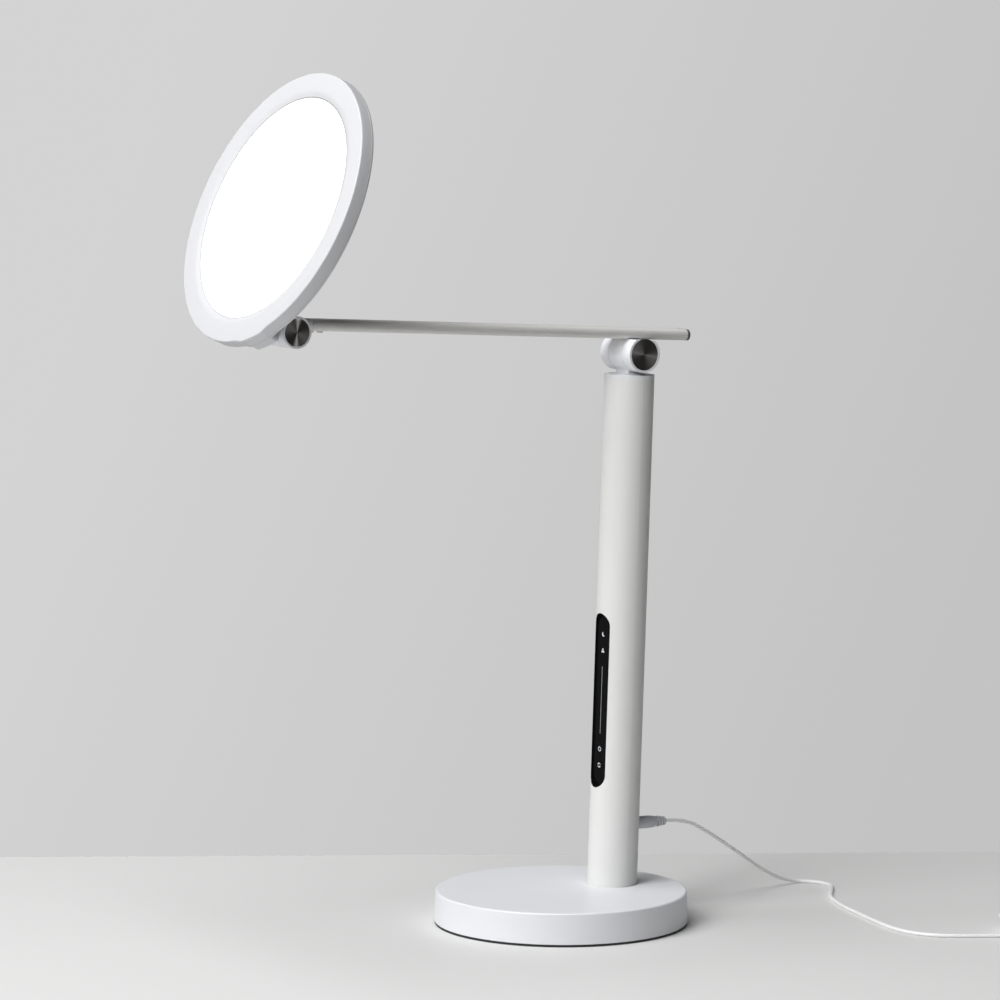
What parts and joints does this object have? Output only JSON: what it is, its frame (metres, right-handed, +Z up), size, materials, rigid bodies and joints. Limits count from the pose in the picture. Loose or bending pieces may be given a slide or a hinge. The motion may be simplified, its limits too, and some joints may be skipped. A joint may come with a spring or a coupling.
{
  "type": "light therapy lamp",
  "caption": "Desk light therapy lamp: round glowing panel on a tilting, turning head, flat arm hinged on a round column, weighted disc base, touch strip and power cord.",
  "frame": {"origin": "centre of the underside of the disc base", "axes": "+Z up along the height, the lamp faces -Y, +X is the side on the right for someone who looks at the lit panel"},
  "size_m": [0.4539, 0.6641, 0.677],
  "materials": {
    "white_plastic": "fine moulded satin",
    "white_metal": "smooth satin paint",
    "hinge_white": "smooth satin paint",
    "dark_spun_metal": "spun, with circular brush lines",
    "dark_plastic": "fine matt",
    "black_gloss": "polished",
    "black_rubber": "matt rubber",
    "steel": "plated steel",
    "socket_metal": "cast",
    "slip_plastic": "smooth",
    "milky_panel": "milky, glows white",
    "clear_acrylic": "clear",
    "white_sheet": "white film",
    "green_board": "solder mask",
    "white_cord": "soft white sheath",
    "white_moulding": "soft moulded"
  },
  "bodies": {
    "base": {"base_cover": "white_plastic", "rubber_foot_pad": "black_rubber", "bottom_plate": "slip_plastic", "base_weight": "steel", "base_screws": "steel", "column_socket": "socket_metal", "socket_bolts": "steel", "column_tube": "white_metal", "control_strip": "black_gloss", "control_board": "green_board", "dc_jack": "dark_plastic", "jack_nut": "steel", "column_cap": "white_metal", "swivel_disc": "slip_plastic", "dc_plug": "white_moulding", "plug_contact": "steel", "power_cord": "white_cord", "cord_coil": "white_cord", "wall_adapter": "white_moulding", "adapter_prongs": "steel"},
    "neck": {"hinge_neck": "hinge_white", "swivel_washer": "steel", "swivel_nut": "steel"},
    "arm": {"hinge_cheek_right": "hinge_white", "hinge_cheek_left": "hinge_white", "hinge_shaft": "steel", "hinge_washers": "steel", "hinge_nuts": "steel", "hinge_cap_right": "dark_spun_metal", "hinge_cap_left": "dark_spun_metal", "arm_bar": "white_metal", "arm_end_cap": "dark_plastic", "arm_tip": "hinge_white", "tip_screws": "steel", "head_shaft": "steel", "head_nuts": "steel", "head_cap_right": "dark_spun_metal", "head_cap_left": "dark_spun_metal"},
    "head_hinge": {"head_knuckle": "hinge_white", "swivel_retainer": "steel"},
    "head": {"head_bezel": "white_plastic", "head_back_cover": "white_plastic", "head_screws": "steel", "diffuser": "milky_panel", "light_guide": "clear_acrylic", "reflector_sheet": "white_sheet", "led_strip": "green_board", "panel_backplate": "socket_metal", "driver_board": "green_board"}
  },
  "joints": [
    {"name": "column_swivel", "type": "hinge", "parent": "base", "child": "neck", "pos_m": [0, 0.06303, 0.45247], "axis": [0, 0.0332, 0.9995], "range_deg": [-90, 90]},
    {"name": "arm_tilt", "type": "hinge", "parent": "neck", "child": "arm", "pos_m": [0, 0.06303, 0.45247], "axis": [1, 0, 0], "range_deg": [-60, 35]},
    {"name": "head_tilt", "type": "hinge", "parent": "arm", "child": "head_hinge", "pos_m": [0, -0.25165, 0.48304], "axis": [1, 0, 0], "range_deg": [-60, 115]},
    {"name": "head_rotate", "type": "hinge", "parent": "head_hinge", "child": "head", "pos_m": [0, -0.25165, 0.48304], "axis": [0, -0.9121, 0.4099], "range_deg": [-111.6, 68.4]}
  ]
}
